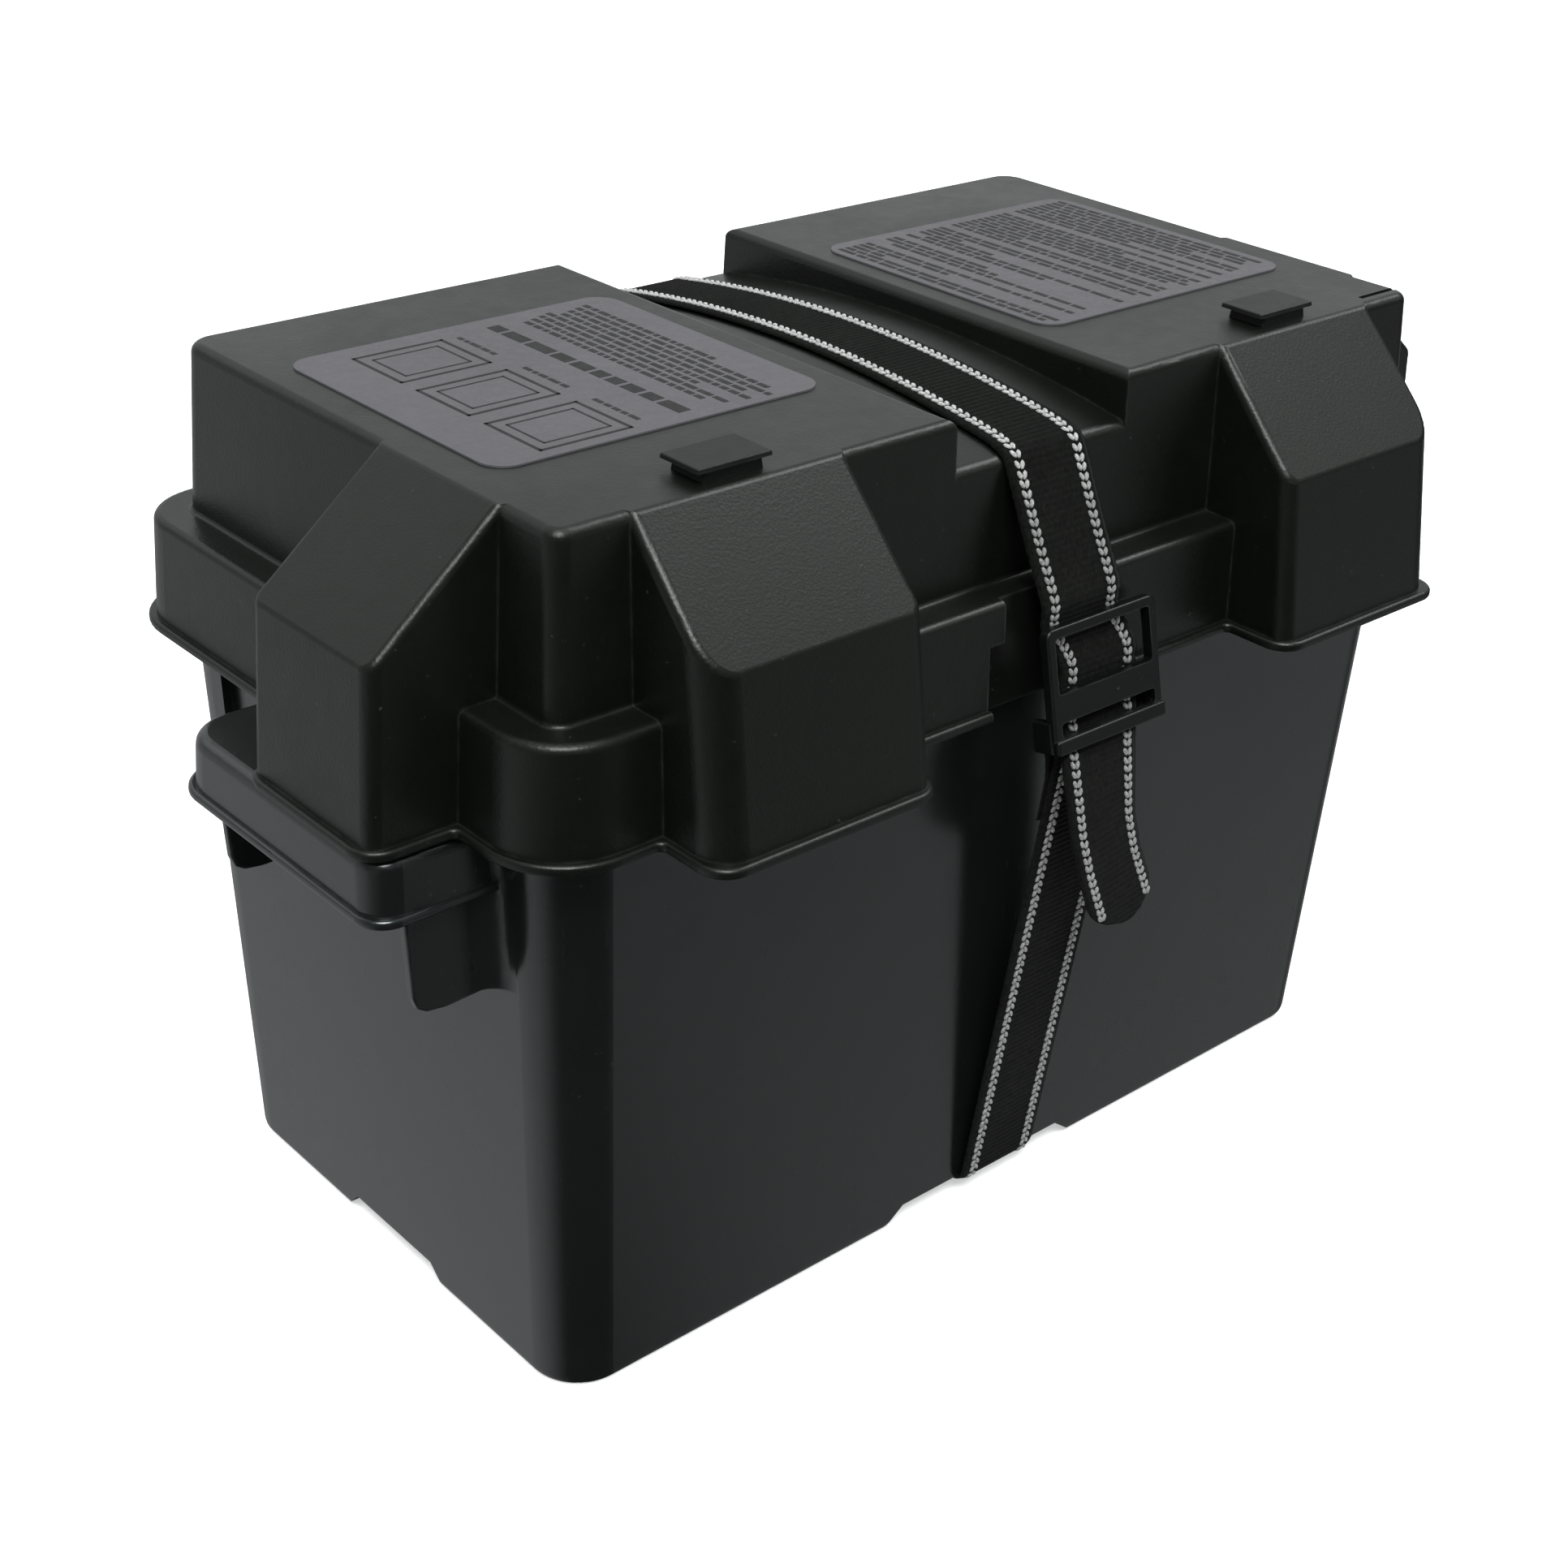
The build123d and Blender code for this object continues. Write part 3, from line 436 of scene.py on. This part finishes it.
def band(ribbon):
    """Ribbed band with rounded selvedges."""
    share = np.linspace(-1, 1, SECTION_POINTS)
    height = HALF_THICK * (1 - np.abs(share) ** 14) ** 0.5
    section = list(zip(share, height))
    section += [(u, -h) for u, h in section[::-1][1:-1]]
    verts = []
    for i in range(ribbon.count):
        dist = ribbon.dist[i]
        rib = RIB_RISE * abs(math.sin(math.pi * dist / RIB_PITCH)) ** 0.7 - RIB_SINK
        wave = EDGE_WAVE * math.sin(2 * math.pi * dist / EDGE_PITCH)
        for u, h in section:
            across = u * (ribbon.half_width[i] + (wave if abs(u) == 1 else 0.0))
            verts.append(ribbon.place(i, across, h + rib * (abs(h) / HALF_THICK)))
    ring, faces = len(section), []
    for i in range(ribbon.count - 1):
        for j in range(ring):
            a, b = i * ring + j, i * ring + (j + 1) % ring
            faces.append((a, b, b + ring, a + ring))
    faces.append(tuple(range(ring))[::-1])
    faces.append(tuple((ribbon.count - 1) * ring + j for j in range(ring)))
    return verts, faces


def add_cords(ribbon, verts, faces, sides, stop):
    """Two braided rows of bead stitches on each of the sides, as far as stop."""
    bead_verts, bead_faces = unit_bead()
    bead = bead_verts * np.array(BEAD_RADII)
    count = int(round(ribbon.length / CORD_PITCH))
    pitch = ribbon.length / count
    for side in sides:
        for track in (-CORD_TRACK, CORD_TRACK):
            for stitch in range(count):
                for lean in (-1, 1):
                    dist = (stitch + 0.5 + BEAD_LEAD * lean) * pitch
                    i = min(ribbon.count - 1,
                            int(round(dist / ribbon.length * (ribbon.count - 1))))
                    if dist > stop or ribbon.half_width[i] < CORD_TRACK + CORD_MARGIN:
                        continue
                    turn = math.radians(BEAD_ANGLE * lean)
                    c, s = math.cos(turn), math.sin(turn)
                    across = bead[:, 0] * c - bead[:, 1] * s + track + lean * BEAD_SIDE
                    along = bead[:, 0] * s + bead[:, 1] * c
                    out = side * (HALF_THICK + BEAD_LIFT) + bead[:, 2]
                    first = len(verts)
                    verts += [ribbon.place(i, *point) for point in zip(across, out, along)]
                    faces += [tuple(first + v for v in face) for face in bead_faces]


def webbing(name, path, flip, round_end=0.0, cord_sides=(1,)):
    """A strap along rows of (x, y, z[, twist in degrees]), its width along X.

    Seen with Y to the right and Z up, the outer face is left of the path, or right if flipped.
    """
    ribbon = Ribbon(path, flip, round_end)
    verts, faces = band(ribbon)
    band_faces = len(faces)
    add_cords(ribbon, verts, faces, cord_sides, stop=ribbon.length - round_end * 0.18)
    slots = [0] * band_faces + [1] * (len(faces) - band_faces)
    mesh = new_mesh(name, verts, faces)
    mesh.validate()
    strap = add_object(mesh, [web, tracer])
    polygons = mesh.polygons
    polygons.foreach_set("material_index", np.array(slots, np.int32)[:len(polygons)])
    for polygon in polygons:
        polygon.use_smooth = True
    return strap


# ---------------------------------------------------------------------------
# strap runs; paths are in (y, z) until they get their x
# ---------------------------------------------------------------------------
TUB_HALF_DEPTH, DRAFT = 92.8, 0.0338    # at the foot; outward slope of the walls
NOSE_Y, NOSE_Z, NOSE_RADIUS = 89.3, 258.3, 4.6      # strap path round the lid's top edges
BUCKLE_Y, BUCKLE_Z = -116.6, 196.4
BUCKLE_TILT = math.radians(13.0)
FOOT_RADIUS = 3.0
UNDER_Z = 7.0 - HALF_THICK - 0.25       # strap path under the tub
TOP_GAP = HALF_THICK + 0.22             # strap path above the lid's top


def on_buckle(up, out):
    """Point in the buckle's tilted frame."""
    c, s = math.cos(BUCKLE_TILT), math.sin(BUCKLE_TILT)
    return (BUCKLE_Y + up * s - out * c, BUCKLE_Z + up * c + out * s)


def lid_top_z(y):
    return 269.5 - 8.0 * (y / 92.0) ** 2


def arc(y, z, radius, start, end, steps):
    angles = [math.radians(start + (end - start) * i / steps) for i in range(steps + 1)]
    return [(y + radius * math.cos(a), z + radius * math.sin(a)) for a in angles]


def with_x(path, keys):
    """Add x to a path, from (share of its length, x) keys."""
    dist = lengths_along(np.array(path, float))
    shares, values = zip(*keys)
    xs = np.interp(dist / dist[-1], shares, values)
    return [(x, y, z) for x, (y, z) in zip(xs, path)]


def over_lid():
    """From the lid's back wall over its top, through the buckle to the free end."""
    path = [(2.0, 104.9, 227.2)]
    path += [(2.0, *p) for p in arc(NOSE_Y, NOSE_Z, NOSE_RADIUS, 19, 78, 8)]
    path += [(1.6, y, lid_top_z(y) + TOP_GAP)
             for y in (86, 78, 66, 52, 38, 22, 6, -8, -22, -38, -52, -66, -78, -85)]
    path += [(0.4, *p) for p in arc(-NOSE_Y, NOSE_Z, NOSE_RADIUS, 102, 161, 8)]
    path += [(0.8, -103.6, 238.0), (2.2, -111.0, 221.0)]
    # through the buckle: x, up, out, twist
    threading = [
        (3.2, 19.5, -2.75, 0.0), (3.8, 16.0, -2.75, 0.0), (7.4, 9.5, -2.3, 0.0),
        (9.6, 4.5, -2.2, 0.0), (8.8, -1, -2.75, 0.0), (7.2, -9, -2.75, 0.0),
        (6.9, -13, -1.7, 0.0), (5.8, -16.2, -0.62, 0.0), (4.6, -19.5, -0.3, 0.0),
        (4.0, -22.5, 0.1, -2.0)]
    path += [(x, *on_buckle(up, out), twist) for x, up, out, twist in threading]
    # hanging tail: x, y, z, twist
    path += [(4.0, -124.4, 162.0, -5.0), (4.3, -126.5, 150.0, -8.0), (6.6, -128.4, 138.0, -9.0),
             (10.6, -129.6, 127.0, -8.0), (15.4, -130.2, 115.2, -7.0)]
    strap = webbing("strap_over_lid", path, flip=True, round_end=14.0, cord_sides=(1, -1))
    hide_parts("strap_upper_run", "strap_tail")
    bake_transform(strap)


def back_run():
    """From under the tub up its back wall and the lid's back wall."""
    path = [(40.0, UNDER_Z), (70.0, UNDER_Z)]
    path += arc(TUB_HALF_DEPTH - 0.2, UNDER_Z + FOOT_RADIUS, FOOT_RADIUS, -90, 0, 6)
    path += [(TUB_HALF_DEPTH + DRAFT * z + off, z)
             for z, off in ((60.0, 1.25), (120.0, 1.25), (180.0, 1.3))]
    path += [(105.0, 194.0), (105.2, 206.0), (105.2, 222.0), (104.9, 227.4)]
    path = with_x(path, [(0, 4.5), (0.3, 4.2), (0.74, 2.2), (1, 2.0)])
    strap = webbing("strap_back_run_web", path, flip=True)
    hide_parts("strap_back_run")
    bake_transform(strap)


def lower_run():
    """Under the tub, up the front, over the buckle's anchor bar and back down behind."""
    bar_y, bar_z = on_buckle(-16.4, -5.0)
    loop_radius = 2.45
    path = [(40.0, UNDER_Z), (0.0, UNDER_Z), (-60.0, UNDER_Z)]
    path += arc(-(TUB_HALF_DEPTH - 0.2), UNDER_Z + FOOT_RADIUS, FOOT_RADIUS, 270, 180, 6)
    foot = np.array(path[-1])
    head = np.array([bar_y - loop_radius, bar_z - 1.5])
    rise = (head - foot) / np.linalg.norm(head - foot)
    inward = np.array([rise[1], -rise[0]])
    path += [tuple(foot + rise * dist) for dist in (40.0, 80.0, 120.0)] + [tuple(head)]
    path += arc(bar_y, bar_z, loop_radius, 172, -12, 9)
    # turned-back end: distance down from the head, distance inward
    turned_back = ((6.0, 3.1), (10.0, 1.9), (15.0, 1.66), (21.0, 1.66), (27.0, 1.66))
    path += [tuple(head - rise * down + inward * deep) for down, deep in turned_back]
    path = with_x(path, [(0, 4.5), (0.42, 4.5), (0.85, 6.0), (1, 6.0)])
    strap = webbing("strap_lower_run_web", path, flip=False)
    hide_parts("strap_lower_run", "strap_anchor_loop")
    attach(strap, "base")


over_lid()
back_run()
lower_run()

# ---------------------------------------------------------------------------
# label print: rows of plain bars running towards -Y, and empty boxes
# ---------------------------------------------------------------------------
INK_SINK, INK_RISE = 0.02, 0.06
BLOCK_FACES = ((0, 3, 2, 1), (4, 5, 6, 7), (0, 1, 5, 4), (1, 2, 6, 5), (2, 3, 7, 6), (3, 0, 4, 7))
rng = random.Random(7)
label_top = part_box("label_panel_left")[1].z / MM


def print_ink(name, quads):
    """Each quad of (x, y) corners becomes a low block of ink."""
    verts, faces = [], []
    for quad in quads:
        first = len(verts)
        for z in (label_top - INK_SINK, label_top + INK_RISE):
            verts += [(x, y, z) for x, y in quad]
        faces += [tuple(first + v for v in face) for face in BLOCK_FACES]
    ink = add_object(new_mesh(name, verts, faces), [label_ink])
    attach(ink, "lid")


def bars(x, start, end, size, gap, shortest, longest):
    """A row of word-like bars from y = start down to end."""
    quads, y, half = [], start, size / 2
    while y - end > shortest:
        bar = min(rng.uniform(shortest, longest), y - end)
        quads.append([(x - half, y), (x + half, y), (x + half, y - bar), (x - half, y - bar)])
        y -= bar + gap
    return quads


def outline(x0, x1, y0, y1, line):
    """Four strokes round a rectangle, overlapping at its corners."""
    corners = [(x0, y0), (x1, y0), (x1, y1), (x0, y1)]
    quads = []
    for (ax, ay), (bx, by) in zip(corners, corners[1:] + corners[:1]):
        length = math.hypot(bx - ax, by - ay)
        ux, uy = (bx - ax) / length, (by - ay) / length
        nx, ny = -uy * line / 2, ux * line / 2
        ex, ey = ux * line * 0.35, uy * line * 0.35
        quads.append([(ax - ex + nx, ay - ey + ny), (bx + ex + nx, by + ey + ny),
                      (bx + ex - nx, by + ey - ny), (ax - ex - nx, ay - ey - ny)])
    return quads


def left_label():
    """Eight rows of small print, a heading row and three boxes with a short row each."""
    quads = []
    row_ends = (-14.0, -44.0, -47.0, -40.0, -46.0, -30.0, -47.0, -41.0)
    for i, end in enumerate(row_ends):
        quads += bars(-57.5 - i * 3.45, 49.0 - i % 4, end, size=1.9, gap=1.0,
                      shortest=1.8, longest=6.5)
    quads += bars(-92.4, 48.0, -46.5, size=4.4, gap=1.6, shortest=5.0, longest=11.0)
    for y in (46.0, 13.0, -20.0):
        for inset, line in ((0.0, 1.16), (4.0, 0.725)):
            quads += outline(-142.0 + inset, -112.0 - inset, y - inset, y - 25.0 + inset, line)
        quads += bars(-106.6, y - 1.0, y - 22.0, size=1.6, gap=0.9, shortest=2.0, longest=5.0)
    print_ink("label_print_left", quads)


def right_label():
    """Paragraphs of small print."""
    quads = []
    blank_rows, indented_rows = (5, 9, 16, 26), (6, 11)
    short_ends = {2: 34.0, 3: 8.0, 7: -2.0, 8: 4.0, 10: -14.0, 12: 12.0, 13: 30.0, 19: 22.0,
                  24: -12.0, 28: -4.0, 31: -22.0}
    for i in range(35):
        if i in blank_rows:
            continue
        full_end = -45.0 + rng.uniform(-2.0, 3.0)   # drawn for short rows too
        quads += bars(49.5 + i * 3.12, 44.0 if i in indented_rows else 50.0,
                      short_ends.get(i, full_end), size=1.9, gap=1.1,
                      shortest=2.5, longest=9.0)
    print_ink("label_print_right", quads)


left_label()
right_label()


# ---------------------------------------------------------------------------
# stage, light, camera
# ---------------------------------------------------------------------------
def add_floor():
    bpy.ops.mesh.primitive_plane_add(size=16.0, location=(0, 0, -0.0002))
    floor = bpy.context.object
    floor.name = "studio_floor"
    t = Material("studio_floor")
    cloud = t.ramp(t.noise(scale=3.0, detail=3.0, rough=0.6), span=(0.3, 0.7))
    floor.data.materials.append(t.shade({
        "Base Color": t.mix(cloud, (0.62, 0.62, 0.62), (0.66, 0.66, 0.66)),
        "Roughness": 0.9, "Specular IOR Level": 0.0,
        "Emission Color": (*WHITE, 1), "Emission Strength": 0.50}))
    floor.visible_glossy = False


def add_world():
    """White to the camera; soft patches of light to everything else."""
    world = bpy.data.worlds.new("studio")
    bpy.context.scene.world = world
    t = Graph(world)

    def patch(direction, dark, full, gain):
        """Light round a direction, rising from cosine dark to cosine full."""
        cosine = t.dot(t.coord.outputs["Generated"], Vector(direction).normalized())
        return t.ramp(cosine, span=(dark, full), to=(0.0, gain),
                      interpolation_type="SMOOTHSTEP")

    # direction, dark, full, gain
    patches = [
        patch((0, 0, 1), -0.10, 0.55, 0.26),                # soft room light from above
        patch((0.50, 0.84, 0.22), 0.60, 0.99, 0.62),        # wall, back right
        patch((0.62, -0.44, 0.65), 0.88, 0.99, 0.85),       # window, front right, high
        patch((0.63, -0.08, 0.77), 0.965, 0.99, 9.0),       # small softbox, right, high
        patch((-0.30, 0.66, 0.68), 0.88, 0.99, 0.95),       # window, back left, high
        patch((-0.30, -0.42, 0.86), 0.945, 0.985, 22.0),    # softbox, front left, very high
        patch((-0.66, 0.62, -0.42), 0.45, 0.95, 0.60),      # table top, back left
        t.times(patch((1, 0, 0), 0.42, 0.53, 0.37),         # table top, front right
                patch((0, -0.8, -0.6), 0.35, 0.62, 1.0)),
        patch((0.86, 0.44, -0.26), 0.80, 0.98, 0.26),       # faint fill, right, low
        patch((-0.90, -0.42, -0.12), 0.90, 0.995, 0.20)]    # faint fill, left, low
    total = patches[0]
    for light in patches[1:]:
        total = t.plus(total, light)
    total = t.plus(total, 0.035)                            # even ambient light
    backdrop = t.add("ShaderNodeBackground", {0: (*WHITE, 1), 1: 1.0})
    lighting = t.add("ShaderNodeBackground", {0: (0.97, 0.985, 1.0, 1), 1: total})
    rays = t.add("ShaderNodeLightPath")
    mixed = t.add("ShaderNodeMixShader", {0: rays.outputs["Is Camera Ray"],
                                          1: lighting.outputs[0], 2: backdrop.outputs[0]})
    t.add("ShaderNodeOutputWorld", {0: mixed.outputs[0]})


def add_area(name, location, target, size, power):
    lamp = bpy.data.lights.new(name, "AREA")
    lamp.shape = "RECTANGLE"
    lamp.size = lamp.size_y = size
    lamp.energy = power
    obj = bpy.data.objects.new(name, lamp)
    bpy.context.scene.collection.objects.link(obj)
    obj.location = location
    aim = Vector(target) - Vector(location)
    obj.rotation_euler = aim.to_track_quat("-Z", "Y").to_euler()


def add_camera():
    """Camera at the front left, above, looking down at the tub."""
    data = bpy.data.cameras.new("camera")
    camera = bpy.data.objects.new("camera", data)
    bpy.context.scene.collection.objects.link(camera)
    bpy.context.scene.camera = camera
    yaw, pitch, roll = 0.732273681, 0.494343855, 0.0369177973   # from +Y to +X; down; roll
    place = Vector((-493.899735, -536.474484 + CENTRE_Y, 504.473425)) * MM
    ahead = Vector((math.sin(yaw) * math.cos(pitch), math.cos(yaw) * math.cos(pitch),
                    -math.sin(pitch)))
    level = Vector((math.cos(yaw), -math.sin(yaw), 0.0))
    upright = level.cross(ahead)
    right = math.cos(roll) * level + math.sin(roll) * upright
    up = -math.sin(roll) * level + math.cos(roll) * upright
    rows = [(right[i], up[i], -ahead[i], place[i]) for i in range(3)]
    camera.matrix_world = Matrix((*rows, (0, 0, 0, 1)))
    data.sensor_width = 36.0
    data.lens = 55.80157025
    data.clip_start = 0.01
    data.clip_end = 50.0


add_floor()
add_world()
add_area("key_top", location=(0.10, 0.25, 1.7), target=(0, 0, 0.2), size=1.0, power=4.0)
add_camera()

view = bpy.context.scene.view_settings
view.view_transform = "Standard"
view.look = "None"
view.exposure = 0.0
view.gamma = 1.0
